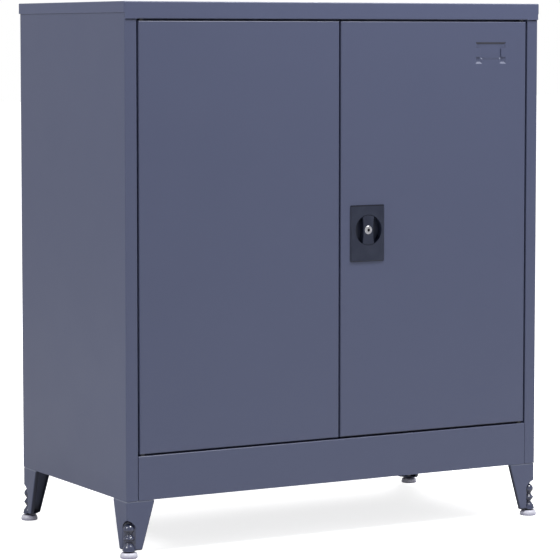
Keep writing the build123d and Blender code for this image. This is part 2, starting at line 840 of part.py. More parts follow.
# Stiffeners: hat sections down the middle of each door
def pressed_stiffener(middle):
    front = skin_back
    rear = skin_back + stiffener_depth
    half = stiffener_width / 2
    taper = stiffener_depth / 2
    section = [
        (middle - half - stiffener_foot, front),
        (middle - half, front),
        (middle - half + taper, rear - panel_sheet),
        (middle + half - taper, rear - panel_sheet),
        (middle + half, front),
        (middle + half + stiffener_foot, front),
    ]
    low = door_bottom + bend_radius + fit_gap
    high = door_top - bend_radius - fit_gap
    with BuildPart() as stiffener:
        extrude(folded_sheet(Plane.XY.offset(low), section, Side.LEFT, radius=panel_sheet), amount=high - low)
    return stiffener


door_middle = (door_inner + door_outer) / 2
save(pressed_stiffener(-door_middle), "left_door_stiffener")
save(pressed_stiffener(door_middle), "right_door_stiffener")


# Pivot pins riveted into the doors' top and bottom edges
for label, side in (("left", -1), ("right", 1)):
    with BuildPart() as pins:
        for face, out, bush_face in ((door_top, 1, lip_z), (door_bottom, -1, ledge_z)):
            inside = face - out * panel_sheet
            head = inside - out * pin_head
            tip = bush_face + out * pivot_length
            collar = face + out * collar_height
            x = side * pivot_x
            round_bar(x, pivot_y, min(head, inside), max(head, inside), pin_head_radius)
            round_bar(x, pivot_y, min(head, tip), max(head, tip), pivot_radius)
            round_bar(x, pivot_y, min(face, collar), max(face, collar), pin_head_radius)
    save(pins, f"{label}_door_pins")


# Lock plate: a moulded face with a round dish, held from behind by a clamp plate
boss_up = dish_radius + dish_wall + boss_radius + boss_clear
boss_down = plate_height - plate_above_lock - plate_margin - boss_radius - boss_clear
clamp_back = skin_back + clamp_thickness
boss_places = [(0, boss_up), (0, -boss_down)]

with BuildPart() as lock_escutcheon:
    with BuildSketch(front_plane(plate_x, -half_depth, plate_z)):
        Rectangle(plate_width, plate_height)
        fillet(vertices(), plate_corner)
    extrude(amount=plate_proud)
    chamfer(lock_escutcheon.faces().sort_by(Axis.Y)[0].edges(), plate_bevel)
    with BuildSketch(front_plane(plate_x, -half_depth, plate_z)):
        Rectangle(cutout_width - 2 * fit_gap, cutout_height - 2 * fit_gap)
    extrude(amount=-panel_sheet)
    with BuildSketch(front_plane(lock_x, plate_y, lock_z)):
        Circle(dish_radius + dish_wall)
    extrude(amount=-(dish_depth + dish_wall))
    with BuildSketch(front_plane(lock_x, plate_y, lock_z)):
        Circle(dish_radius)
    extrude(amount=-dish_depth, mode=Mode.SUBTRACT)
    with BuildSketch(front_plane(lock_x, dish_floor, lock_z)):
        Circle(spindle_radius + 2 * running_gap)
    extrude(amount=-dish_wall, mode=Mode.SUBTRACT)
    with BuildSketch(front_plane(lock_x, skin_back, lock_z)):
        with Locations(*boss_places):
            Circle(pilot_radius + thread_play)
    extrude(amount=panel_sheet + plate_proud / 2, mode=Mode.SUBTRACT)
save(lock_escutcheon, "lock_escutcheon")

with BuildPart() as lock_clamp_plate:
    with BuildSketch(front_plane(plate_x, skin_back, plate_z)):
        Rectangle(plate_width - 2 * fit_gap, plate_height)
        fillet(vertices(), clamp_corner)
    extrude(amount=-clamp_thickness)
    with BuildSketch(front_plane(lock_x, skin_back, lock_z)):
        Circle(dish_radius + dish_wall + fit_gap)
        with Locations(*boss_places):
            Circle(pilot_radius + thread_play)
    extrude(amount=-clamp_thickness, mode=Mode.SUBTRACT)
save(lock_clamp_plate, "lock_clamp_plate")

with BuildPart() as lock_screws:
    for x, z in boss_places:
        with BuildSketch(front_plane(lock_x + x, clamp_back, lock_z + z)):
            Circle(lock_screw_head_radius)
        extrude(amount=-lock_screw_head)
        with BuildSketch(front_plane(lock_x + x, clamp_back, lock_z + z)):
            Circle(pilot_radius)
        extrude(amount=clamp_thickness + panel_sheet)
save(lock_screws, "lock_screws")


# Turn handle: a disc in the dish with a waisted grip across it, on a hollow spindle
rotor_radius = dish_radius - fit_gap
rotor_back = dish_floor - fit_gap
rotor_face = rotor_back - rotor_thickness
grip_face = plate_y + fit_gap
spindle_end = cam_front - 2 * running_gap
plug_back = grip_face + plug_length

with BuildPart() as turn_handle:
    with BuildSketch(front_plane(lock_x, rotor_back, lock_z)):
        Circle(rotor_radius)
    extrude(amount=rotor_thickness)
    with BuildSketch(front_plane(lock_x, rotor_face, lock_z)):
        with BuildLine():
            ends = grip_end_width / 2
            waist = grip_width / 2
            ThreePointArc((ends, rotor_radius), (waist, 0), (ends, -rotor_radius))
            Line((ends, -rotor_radius), (-ends, -rotor_radius))
            ThreePointArc((-ends, -rotor_radius), (-waist, 0), (-ends, rotor_radius))
            Line((-ends, rotor_radius), (ends, rotor_radius))
        make_face()
        Circle(rotor_radius, mode=Mode.INTERSECT)
    extrude(amount=rotor_face - grip_face)
    fillet(turn_handle.faces().sort_by(Axis.Y)[0].edges(), grip_round)
    with BuildSketch(front_plane(lock_x, rotor_back, lock_z)):
        Circle(spindle_radius)
    extrude(amount=-(spindle_end - rotor_back))
    with BuildSketch(front_plane(lock_x, spindle_end, lock_z)):
        Rectangle(square_size, square_size)
    extrude(amount=-(cam_back - spindle_end))
    with BuildSketch(front_plane(lock_x, grip_face, lock_z)):
        Circle(plug_radius + running_gap)
    extrude(amount=-(plug_length + fit_gap), mode=Mode.SUBTRACT)
    with BuildSketch(front_plane(lock_x, grip_face, lock_z)):
        Circle(ring_radius)
    extrude(amount=-ring_height / 2, mode=Mode.SUBTRACT)
    with BuildSketch(front_plane(lock_x, cam_back, lock_z)):
        Circle(pilot_radius + thread_play)
    extrude(amount=cam_thickness, mode=Mode.SUBTRACT)
save(turn_handle, "turn_handle")

with BuildPart() as lock_ring:
    with BuildSketch(front_plane(lock_x, grip_face + ring_height / 2, lock_z)):
        Circle(ring_radius - running_gap)
        Circle(plug_radius + running_gap, mode=Mode.SUBTRACT)
    extrude(amount=ring_height)
    chamfer(lock_ring.faces().sort_by(Axis.Y)[0].edges().sort_by(SortBy.RADIUS)[-1], ring_height / 2)
save(lock_ring, "lock_ring")

plug_face = grip_face - ring_height / 2
with BuildPart() as lock_plug:
    with BuildSketch(front_plane(lock_x, plug_face, lock_z)):
        Circle(plug_radius)
    extrude(amount=-(plug_back - plug_face))
    with BuildSketch(front_plane(lock_x, plug_face, lock_z)):
        Circle(keyway_radius)
    extrude(amount=-keyway_depth, mode=Mode.SUBTRACT)
    with BuildSketch(front_plane(lock_x, plug_face, lock_z)):
        Rectangle(key_slot_width, key_slot_height)
    extrude(amount=-plug_length / 2, mode=Mode.SUBTRACT)
save(lock_plug, "lock_plug")


# Cam plate: two spiral slots that push the bars apart, and a latch that swings behind the left door
def spiral_point(turn, shift):
    # Point beside an even spiral: turn runs from 0 to 1 over a quarter turn, shift is square to the curve.
    rise = bar_travel / (pi / 2)
    radius = cam_start_radius + bar_travel * turn
    angle = pi / 2 + turn * pi / 2
    along = hypot(rise, radius)
    out = radius + shift * radius / along
    over = -shift * rise / along
    return (out * cos(angle) - over * sin(angle), out * sin(angle) + over * cos(angle))


def spiral_slot(plane):
    half = cam_pin_radius + cam_slot_play
    steps = [n / spiral_points for n in range(spiral_points + 1)]
    with BuildSketch(plane) as slot:
        with BuildLine():
            Spline(*[spiral_point(t, -half) for t in steps])
            Spline(*[spiral_point(t, half) for t in steps])
            for turn, back in ((0, -1), (1, 1)):
                middle = Vector(*spiral_point(turn, 0))
                edge = Vector(*spiral_point(turn, half)) - middle
                tip = middle + Vector(-edge.Y, edge.X) * back
                ThreePointArc(spiral_point(turn, -half), tip, spiral_point(turn, half))
        make_face()
    return slot.sketch


latch_length = lock_x - door_inner + door_gap + latch_reach

with BuildPart() as cam_plate:
    with BuildSketch(front_plane(lock_x, cam_front, lock_z)):
        Circle(cam_radius)
        with Locations((0, -latch_length / 2)):
            SlotOverall(latch_length + latch_width, latch_width, rotation=90)
        Rectangle(square_size + 2 * running_gap, square_size + 2 * running_gap, mode=Mode.SUBTRACT)
    extrude(amount=-cam_thickness)
    upper_slot = spiral_slot(front_plane(lock_x, cam_front, lock_z))
    extrude(upper_slot, amount=-cam_thickness, mode=Mode.SUBTRACT)
    lower_slot = upper_slot.rotate(Axis((lock_x, 0, lock_z), (0, 1, 0)), 180)
    extrude(lower_slot, amount=-cam_thickness, mode=Mode.SUBTRACT)
save(cam_plate, "cam_plate")

with BuildPart() as cam_screw:
    with BuildSketch(front_plane(lock_x, cam_back, lock_z)):
        Circle(cam_screw_radius)
    extrude(amount=-cam_screw_head)
    with BuildSketch(front_plane(lock_x, cam_back, lock_z)):
        Circle(pilot_radius)
    extrude(amount=cam_thickness - fit_gap)
save(cam_screw, "cam_screw")


# Locking bars: flat bars with a round end and a pin in the cam plate's slot
def locking_bar(up):
    start = lock_z + up * cam_start_radius
    tip = door_top - bar_tip_gap if up > 0 else door_bottom + bar_tip_gap
    with BuildPart() as bar:
        with BuildSketch(front_plane(lock_x, bar_back, (start + tip) / 2)):
            Rectangle(bar_width, abs(tip - start))
        extrude(amount=bar_thickness)
        with BuildSketch(front_plane(lock_x, bar_back, start)):
            Circle(bar_width / 2)
        extrude(amount=bar_thickness)
        with BuildSketch(front_plane(lock_x, bar_back, start)):
            Circle(cam_pin_radius)
        extrude(amount=-(cam_back + fit_gap - bar_back))
    return bar


save(locking_bar(1), "upper_bar")
save(locking_bar(-1), "lower_bar")


# Guides: moulded blocks on the door skin that each bar slides through
guide_rows = [
    door_top - guide_from_end,
    lock_z + guide_from_lock,
    lock_z - guide_from_lock,
    door_bottom + guide_from_end,
]

with BuildPart() as bar_guides:
    for z in guide_rows:
        slab((lock_x - guide_width / 2, lock_x + guide_width / 2), (skin_back, guide_back),
             (z - guide_height / 2, z + guide_height / 2))
        slab((lock_x - bar_width / 2 - guide_play, lock_x + bar_width / 2 + guide_play),
             (bar_back - bar_thickness - guide_play, bar_back + guide_play),
             (z - guide_height / 2, z + guide_height / 2), mode=Mode.SUBTRACT)
save(bar_guides, "bar_guides")
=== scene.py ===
import bpy
import bmesh
import json
import math
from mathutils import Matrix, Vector


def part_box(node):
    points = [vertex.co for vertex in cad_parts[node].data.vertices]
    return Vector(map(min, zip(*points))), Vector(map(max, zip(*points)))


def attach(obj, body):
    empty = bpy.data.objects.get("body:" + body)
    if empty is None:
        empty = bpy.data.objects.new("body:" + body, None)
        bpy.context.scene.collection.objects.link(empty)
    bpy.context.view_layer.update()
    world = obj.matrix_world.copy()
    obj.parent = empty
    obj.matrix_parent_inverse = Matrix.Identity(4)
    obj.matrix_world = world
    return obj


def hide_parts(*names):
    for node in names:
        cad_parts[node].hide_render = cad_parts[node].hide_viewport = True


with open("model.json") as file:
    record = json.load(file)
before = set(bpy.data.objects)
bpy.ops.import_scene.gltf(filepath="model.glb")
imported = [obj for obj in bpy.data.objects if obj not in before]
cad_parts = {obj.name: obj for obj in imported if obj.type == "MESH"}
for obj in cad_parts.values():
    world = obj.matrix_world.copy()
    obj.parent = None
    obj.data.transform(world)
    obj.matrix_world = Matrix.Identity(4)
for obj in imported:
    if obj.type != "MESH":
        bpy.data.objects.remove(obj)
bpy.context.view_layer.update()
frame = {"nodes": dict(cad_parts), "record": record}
nodes = frame["nodes"]
bpy.ops.object.select_all(action="DESELECT")
slotOf = {part["node"]: part["material_slot"] for part in frame["record"]["subparts"]}
corners = ("front_left", "front_right", "rear_left", "rear_right")
print("frame loaded,", len(nodes), "nodes")


def newFinish(name):
    # an empty material with its shader and output in place
    finish = bpy.data.materials.new(name)
    finish.use_nodes = True
    tree = finish.node_tree
    tree.nodes.clear()
    output = tree.nodes.new("ShaderNodeOutputMaterial")
    shader = tree.nodes.new("ShaderNodeBsdfPrincipled")
    place = tree.nodes.new("ShaderNodeTexCoord")
    tree.links.new(shader.outputs["BSDF"], output.inputs["Surface"])
    return finish, tree, shader, place


def partsOf(finish):
    # the tree, shader and coordinates of a finish that gets something on top
    tree = finish.node_tree
    shader = next(node for node in tree.nodes if node.type == "BSDF_PRINCIPLED")
    place = next(node for node in tree.nodes if node.type == "TEX_COORD")
    return tree, shader, place


def fedBy(socket):
    # what a socket of the finish below is fed by
    return socket.links[0].from_socket


def mapped(tree, vector, location=(0, 0, 0), scale=(1, 1, 1)):
    mapping = tree.nodes.new("ShaderNodeMapping")
    mapping.inputs["Location"].default_value = location
    mapping.inputs["Scale"].default_value = scale
    tree.links.new(vector, mapping.inputs["Vector"])
    return mapping.outputs["Vector"]


noiseFrom = (0.3, 0.7)   # most of what a noise gives lies between these


def noise(tree, place, scale, detail, roughness=0.5, stretch=None):
    # object-space noise, stretched where the grain has a direction
    cloud = tree.nodes.new("ShaderNodeTexNoise")
    cloud.inputs["Scale"].default_value = scale
    cloud.inputs["Detail"].default_value = detail
    cloud.inputs["Roughness"].default_value = roughness
    where = place.outputs["Object"]
    if stretch:
        where = mapped(tree, where, scale=stretch)
    tree.links.new(where, cloud.inputs["Vector"])
    return cloud.outputs["Fac"]


def spread(tree, value, fromLow, fromHigh, toLow=0, toHigh=1):
    # maps one range of values on another, clamped
    ranged = tree.nodes.new("ShaderNodeMapRange")
    numbers = {"From Min": fromLow, "From Max": fromHigh, "To Min": toLow, "To Max": toHigh}
    for socket, number in numbers.items():
        ranged.inputs[socket].default_value = number
    tree.links.new(value, ranged.inputs["Value"])
    return ranged.outputs["Result"]


def mixed(tree, factor, first, second):
    # mixes two colours; any of the three may be a socket
    mix = tree.nodes.new("ShaderNodeMix")
    mix.data_type = "RGBA"
    for name, value in (("Factor", factor), ("A", first), ("B", second)):
        if isinstance(value, bpy.types.NodeSocket):
            tree.links.new(value, mix.inputs[name])
        else:
            mix.inputs[name].default_value = value
    return mix.outputs["Result"]


def joined(tree, operation, first, second):
    # two values put together by a Math node
    maths = tree.nodes.new("ShaderNodeMath")
    maths.operation = operation
    tree.links.new(first, maths.inputs[0])
    tree.links.new(second, maths.inputs[1])
    return maths.outputs["Value"]


def between(tree, value, low, high, edge):
    # 1 from low to high, with a short ramp at each end
    above = spread(tree, value, low, low + edge)
    below = spread(tree, value, high, high + edge, 1, 0)
    return joined(tree, "MULTIPLY", above, below)


def components(tree, vector):
    split = tree.nodes.new("ShaderNodeSeparateXYZ")
    tree.links.new(vector, split.inputs["Vector"])
    return split.outputs


def lean(tree, normal="Normal"):
    # how far a face looks up or down: 1 straight up, -1 straight down
    geometry = tree.nodes.new("ShaderNodeNewGeometry")
    return components(tree, geometry.outputs[normal])["Z"]


def lengthOf(tree, vector):
    far = tree.nodes.new("ShaderNodeVectorMath")
    far.operation = "LENGTH"
    tree.links.new(vector, far.inputs[0])
    return far.outputs["Value"]


def edgeMask(tree, width, low, high):
    # 1 along outer edges, from how far the rounded normal leans away from the face's own
    bevel = tree.nodes.new("ShaderNodeBevel")
    bevel.samples = 6
    bevel.inputs["Radius"].default_value = width
    geometry = tree.nodes.new("ShaderNodeNewGeometry")
    dot = tree.nodes.new("ShaderNodeVectorMath")
    dot.operation = "DOT_PRODUCT"
    tree.links.new(bevel.outputs["Normal"], dot.inputs[0])
    tree.links.new(geometry.outputs["Normal"], dot.inputs[1])
    return spread(tree, dot.outputs["Value"], high, low)


def hollowShadingMask(tree, reach, low, high):
    # 1 deep in folds and seams, from how little of the surroundings they see; it places painted shade there,
    # and painted light in the body's gaps
    hollow = tree.nodes.new("ShaderNodeAmbientOcclusion")
    hollow.samples = 8
    hollow.inputs["Distance"].default_value = reach
    return spread(tree, hollow.outputs["AO"], high, low)


def bumped(tree, shader, height, strength, distance):
    bump = tree.nodes.new("ShaderNodeBump")
    bump.inputs["Strength"].default_value = strength
    bump.inputs["Distance"].default_value = distance
    tree.links.new(height, bump.inputs["Height"])
    tree.links.new(bump.outputs["Normal"], shader.inputs["Normal"])


def grained(tree, shader, place, look, detail):
    # a fine grain all over
    grain = noise(tree, place, look["grainScale"], detail)
    bumped(tree, shader, grain, look["grainStrength"], look["grainHeight"])


def roughened(tree, shader, cloud, rough):
    # duller and shinier in turn, with the noise
    tree.links.new(spread(tree, cloud, *noiseFrom, *rough), shader.inputs["Roughness"])


paintLook = {
    "tone": (0.0430, 0.0512, 0.0965, 1),   # blue-grey powder coat
    "deepTone": (0.0412, 0.0492, 0.0930, 1),
    "cloudScale": 1.3,
    "cloudFrom": (0.35, 0.65),
    "speckTone": (0.10, 0.115, 0.185, 1),
    "speckScale": 1500,
    "speckMost": 0.10,
    "wearAndHighlightTone": (0.100, 0.114, 0.185, 1),  # thinner coat along folds and cut edges, with a painted highlight on their bends
    "wearAndHighlightWidth": 0.0012,
    "wearAndHighlightLean": (0.90, 0.995),
    "patchScale": 60,
    "patchFrom": (0.35, 0.75),
    "patchWearAndHighlight": (0.35, 0.85),
    "hollowShadingTone": (0.15, 0.17, 0.28, 1),  # painted light deep in the gaps, lighter than the coat
    "hollowShadingReach": 0.007,
    "hollowShadingFrom": (0.04, 0.42),
    "gloss": 0.42,
    "dullScale": 9,
    "rough": (0.41, 0.45),
    "grainScale": 620,                     # orange peel, about 1.6 mm across
    "grainStrength": 0.35,
    "grainHeight": 0.00004,
}


def cabinetPaintFinish(name, look):
    finish, tree, shader, place = newFinish(name)
    clouds = noise(tree, place, look["cloudScale"], detail=4)
    tone = mixed(tree, spread(tree, clouds, *look["cloudFrom"]), look["tone"], look["deepTone"])
    specks = noise(tree, place, look["speckScale"], detail=2)
    tone = mixed(tree, spread(tree, specks, *noiseFrom, 0, look["speckMost"]), tone, look["speckTone"])
    # lighter along folds and edges, in patches: edge wear together with a painted highlight on the bends
    wearAndHighlight = edgeMask(tree, look["wearAndHighlightWidth"], *look["wearAndHighlightLean"])
    patches = noise(tree, place, look["patchScale"], detail=3)
    patches = spread(tree, patches, *look["patchFrom"], *look["patchWearAndHighlight"])
    tone = mixed(tree, joined(tree, "MULTIPLY", wearAndHighlight, patches), tone, look["wearAndHighlightTone"])
    # the hollow-shading colour deep in folds and gaps: painted light in the body's gaps, painted shade in the
    # legs' dent
    gapShading = hollowShadingMask(tree, look["hollowShadingReach"], *look["hollowShadingFrom"])
    tone = mixed(tree, gapShading, tone, look["hollowShadingTone"])
    tree.links.new(tone, shader.inputs["Base Color"])
    shader.inputs["Specular IOR Level"].default_value = look["gloss"]
    roughened(tree, shader, noise(tree, place, look["dullScale"], detail=5), look["rough"])
    grained(tree, shader, place, look, detail=2)
    return finish


doorLook = {
    **paintLook,
    "shadeTone": (0.013, 0.015, 0.032, 1),     # walls of the card holder that look down
    "shadeLean": (-0.2, -0.35),
    "railShadeTone": (0.024, 0.029, 0.055, 1),      # painted shade on the holder's lower wall between the feet, which is also less glossy
    "railGloss": 0.1,
    "footHighlightTone": (0.070, 0.080, 0.130, 1),      # painted highlight on the up-facing walls of the two short feet beside it
    "wallLean": (0.2, 0.35),
    "footBelowTop": 0.0836,                    # heights under the door's top, places from its free side
    "railBelowTop": 0.0680,
    "railFromEdge": (0.1015, 0.0615),
    "holderDepth": 0.0030,
    "ramp": 0.0004,
}


def cardDoorFinish(look):
    # the body's paint, with a painted highlight and painted shade on the card holder in the right door
    finish = cabinetPaintFinish("cardDoorPaint", look)
    tree, shader, place = partsOf(finish)
    doorLow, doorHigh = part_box("right_door_panel")
    ramp = look["ramp"]
    slope = lean(tree, "True Normal")
    spot = components(tree, place.outputs["Object"])
    level = between(tree, spot["Z"], doorHigh.z - look["footBelowTop"], doorHigh.z - look["railBelowTop"], ramp)
    deepest = doorLow.y + look["holderDepth"]
    holder = joined(tree, "MULTIPLY", level, spread(tree, spot["Y"], deepest, deepest + ramp, 1, 0))
    wall = joined(tree, "MULTIPLY", spread(tree, slope, *look["wallLean"]), holder)
    railLeft, railRight = (doorHigh.x - number for number in look["railFromEdge"])
    rail = joined(tree, "MULTIPLY", wall, between(tree, spot["X"], railLeft, railRight, ramp / 2))
    # painted highlight on the feet, then painted shade on the rail between them and on faces that look down
    tone = mixed(tree, wall, fedBy(shader.inputs["Base Color"]), look["footHighlightTone"])
    tone = mixed(tree, rail, tone, look["railShadeTone"])
    tone = mixed(tree, spread(tree, slope, *look["shadeLean"]), tone, look["shadeTone"])
    tree.links.new(tone, shader.inputs["Base Color"])
    gloss = spread(tree, rail, 0, 1, look["gloss"], look["railGloss"])
    tree.links.new(gloss, shader.inputs["Specular IOR Level"])
    return finish


legLook = {
    **paintLook,
    # painted shade deep in the dent's folds and valleys
    "hollowShadingTone": (0.006, 0.008, 0.020, 1),
    "hollowShadingReach": 0.018,
    "hollowShadingFrom": (0.46, 0.97),
    "shadeTone": (0.010, 0.012, 0.026, 1),   # painted shade on the lips and undersides, which look down
    "shadeLean": (-0.10, -0.24),
    "shadeMost": 0.92,
    "bendHighlightTone": (0.15, 0.165, 0.22, 1),      # painted highlight on the bend along the leg's top
    "bendLean": (0.10, 0.45),
    "bendFrom": (0.1005, 0.1015),
    "columnAt": (0.4394, 0.2194),            # the stud's axis, the same at all four corners
    "columnRadius": 0.0118,
    "columnRamp": 0.0003,
    # painted shade on the column inside the dent, darker than the flanks
    "columnShadeTone": (0.016, 0.020, 0.046, 1),
    "columnMost": 0.6,
    "columnGloss": 0.6,
    "columnRough": 0.25,
    "domeHeights": (0.054, 0.074),           # the column narrows to its dome, inside the arch of the dent
    "domeNarrows": 0.0108,
}


def legPaintFinish(look):
    # the body's paint, with painted shade on faces that look down and on the column inside the dent, a painted
    # highlight along the top bend, and a glossier column
    finish = cabinetPaintFinish("legPaint", look)
    tree, shader, place = partsOf(finish)
    slope = lean(tree)
    height = components(tree, place.outputs["Object"])["Z"]
    lowest = joined(tree, "MINIMUM", slope, lean(tree, "True Normal"))
    bend = spread(tree, slope, *look["bendLean"])
    bend = joined(tree, "MULTIPLY", bend, spread(tree, height, *look["bendFrom"]))
    folded = tree.nodes.new("ShaderNodeVectorMath")
    folded.operation = "ABSOLUTE"
    tree.links.new(place.outputs["Object"], folded.inputs[0])
    away = mapped(tree, folded.outputs["Vector"], [-number for number in look["columnAt"]] + [0], (1, 1, 0))
    narrowing = spread(tree, height, *look["domeHeights"], 0, look["domeNarrows"])
    far = joined(tree, "ADD", lengthOf(tree, away), narrowing)
    column = spread(tree, far, look["columnRadius"] + look["columnRamp"], look["columnRadius"])
    tone = mixed(tree, spread(tree, column, 0, 1, 0, look["columnMost"]),
                 fedBy(shader.inputs["Base Color"]), look["columnShadeTone"])
    tone = mixed(tree, spread(tree, lowest, *look["shadeLean"], 0, look["shadeMost"]), tone, look["shadeTone"])
    tone = mixed(tree, bend, tone, look["bendHighlightTone"])
    tree.links.new(tone, shader.inputs["Base Color"])
    gloss = spread(tree, column, 0, 1, look["gloss"], look["columnGloss"])
    tree.links.new(gloss, shader.inputs["Specular IOR Level"])
    polish = tree.nodes.new("ShaderNodeMix")
    tree.links.new(column, polish.inputs["Factor"])
    tree.links.new(fedBy(shader.inputs["Roughness"]), polish.inputs["A"])
    polish.inputs["B"].default_value = look["columnRough"]
    tree.links.new(polish.outputs["Result"], shader.inputs["Roughness"])
    return finish


blackLook = {
    "tone": (0.009, 0.012, 0.026, 1),      # black-blue moulded plastic
    "dustTone": (0.014, 0.018, 0.034, 1),
    "dustScale": 45,
    "dustFrom": (0.35, 0.7),
    "rubbedTone": (0.035, 0.042, 0.065, 1),
    "rubbedWidth": 0.0006,
    "rubbedLean": (0.9, 0.99),
    "rubbedMost": 0.25,
    "topShadeTone": (0.003, 0.004, 0.009, 1),   # painted shade on moulding edges that look up, whose gloss is also taken away
    "topLean": (0.25, 0.55),
    "topGloss": 0.03,
    "gloss": 0.3,
    "rough": (0.34, 0.44),
    "grainScale": 2600,
    "grainStrength": 0.3,
    "grainHeight": 0.00003,
}


def lockBlackFinish(look):
    finish, tree, shader, place = newFinish("lockBlack")
    dust = noise(tree, place, look["dustScale"], detail=5)
    tone = mixed(tree, spread(tree, dust, *look["dustFrom"]), look["tone"], look["dustTone"])
    rubbed = edgeMask(tree, look["rubbedWidth"], *look["rubbedLean"])
    tone = mixed(tree, spread(tree, rubbed, 0, 1, 0, look["rubbedMost"]), tone, look["rubbedTone"])
    # painted shade on edges that look up
    upward = spread(tree, lean(tree), *look["topLean"])
    tone = mixed(tree, upward, tone, look["topShadeTone"])
    tree.links.new(tone, shader.inputs["Base Color"])
    gloss = spread(tree, upward, 0, 1, look["gloss"], look["topGloss"])
    tree.links.new(gloss, shader.inputs["Specular IOR Level"])
    roughened(tree, shader, dust, look["rough"])
    grained(tree, shader, place, look, detail=3)
    return finish


chromeLook = {
    "tone": (0.47, 0.47, 0.50, 1),
    "stainTone": (0.55, 0.55, 0.57, 1),
    "stainScale": 300,
    "stainFrom": (0.4, 0.75),
    "stainMost": 0.5,
    "rough": (0.24, 0.38),
    "scratchScale": 900,
    "scratchStretch": (1, 1, 12),
    "scratchStrength": 0.15,
    "scratchHeight": 0.00002,
}


def ringChromeFinish(look, name="ringChrome"):
    finish, tree, shader, place = newFinish(name)
    shader.inputs["Metallic"].default_value = 1.0
    stain = noise(tree, place, look["stainScale"], detail=4)
    stained = spread(tree, stain, *look["stainFrom"], 0, look["stainMost"])
    tone = mixed(tree, stained, look["tone"], look["stainTone"])
    tree.links.new(tone, shader.inputs["Base Color"])
    scratches = noise(tree, place, look["scratchScale"], detail=3, roughness=0.6,
                      stretch=look["scratchStretch"])
    roughened(tree, shader, scratches, look["rough"])
    bumped(tree, shader, scratches, look["scratchStrength"], look["scratchHeight"])
    return finish


# painted shade in the key recess
plugLook = {"keyhole": 0.00285, "ramp": 0.0001, "keyholeShade": (0.012, 0.012, 0.016, 1)}


def keyedPlugFinish(chrome, look):
    # the plug is chromed like its ring, but its key recess is painted dark as shade and is not metallic
    finish = ringChromeFinish(chrome, "plugChrome")
    tree, shader, place = partsOf(finish)
    low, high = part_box("lock_plug")
    centre = (low + high) / 2
    away = mapped(tree, place.outputs["Object"], (-centre.x, 0, -centre.z), (1, 0, 1))
    inside = spread(tree, lengthOf(tree, away), look["keyhole"], look["keyhole"] - look["ramp"])
    tone = mixed(tree, inside, fedBy(shader.inputs["Base Color"]), look["keyholeShade"])
    tree.links.new(tone, shader.inputs["Base Color"])
    tree.links.new(spread(tree, inside, 0, 1, 1, 0), shader.inputs["Metallic"])
    return finish


zincLook = {
    "tone": (0.52, 0.53, 0.52, 1),
    "cloudTone": (0.62, 0.61, 0.56, 1),
    "cloudScale": 70,
    "cloudFrom": (0.35, 0.65),
    "spangleTone": (0.40, 0.41, 0.42, 1),
    "spangleScale": 260,
    "spangleFrom": (0, 0.8),
    "spangleMost": 0.25,
    "metal": 0.9,
    "rough": (0.28, 0.45),
    "grainScale": 1400,
    "grainStrength": 0.25,
    "grainHeight": 0.00003,
}


def zincPlateFinish(look):
    finish, tree, shader, place = newFinish("zincPlate")
    shader.inputs["Metallic"].default_value = look["metal"]
    spangles = tree.nodes.new("ShaderNodeTexVoronoi")
    spangles.inputs["Scale"].default_value = look["spangleScale"]
    tree.links.new(place.outputs["Object"], spangles.inputs["Vector"])
    clouds = noise(tree, place, look["cloudScale"], detail=4)
    tone = mixed(tree, spread(tree, clouds, *look["cloudFrom"]), look["tone"], look["cloudTone"])
    spangled = spread(tree, spangles.outputs["Distance"], *look["spangleFrom"], 0, look["spangleMost"])
    tone = mixed(tree, spangled, tone, look["spangleTone"])
    tree.links.new(tone, shader.inputs["Base Color"])
    roughened(tree, shader, clouds, look["rough"])
    grained(tree, shader, place, look, detail=2)
    return finish


nutLook = {
    "tone": (0.012, 0.013, 0.020, 1),
    "oilTone": (0.024, 0.026, 0.038, 1),
    "oilScale": 210,
    "oilFrom": (0.35, 0.7),
    "gloss": 0.4,
    "rough": (0.38, 0.55),
    "grainScale": 1600,
    "grainStrength": 0.25,
    "grainHeight": 0.00003,
}
pinLook = {**nutLook, "tone": (0.03, 0.03, 0.035, 1)}


def lockNutFinish(look, name="blackenedNut"):
    # blackened steel, a little oily
    finish, tree, shader, place = newFinish(name)
    shader.inputs["Specular IOR Level"].default_value = look["gloss"]
    oil = noise(tree, place, look["oilScale"], detail=4)
    tone = mixed(tree, spread(tree, oil, *look["oilFrom"]), look["tone"], look["oilTone"])
    tree.links.new(tone, shader.inputs["Base Color"])
    roughened(tree, shader, oil, look["rough"])
    grained(tree, shader, place, look, detail=2)
    return finish


def softPlastic(name, look):
    # what the foot pads and the nylon pieces share: light goes in a little, and the skin has a fine grain
    finish, tree, shader, place = newFinish(name)
    shader.inputs["Subsurface Weight"].default_value = look["glowWeight"]
    shader.inputs["Subsurface Radius"].default_value = (look["glowDepth"],) * 3
    grained(tree, shader, place, look, detail=3)
    return finish, tree, shader, place


footLook = {
    "tone": (0.44, 0.44, 0.50, 1),
    "scuffTone": (0.30, 0.30, 0.34, 1),
    "scuffScale": 160,
    "scuffFrom": (0.55, 0.8),
    "scuffMost": 0.6,
    "shadeTone": (0.17, 0.165, 0.24, 1),   # painted shade, lilac grey, round the rim and under the nut
    "shadeReach": 0.012,
    "shadeFrom": (0.45, 0.95),
    "rough": (0.35, 0.5),
    "glowWeight": 0.05,
    "glowDepth": 0.004,
    "grainScale": 1100,
    "grainStrength": 0.25,
    "grainHeight": 0.00004,
}


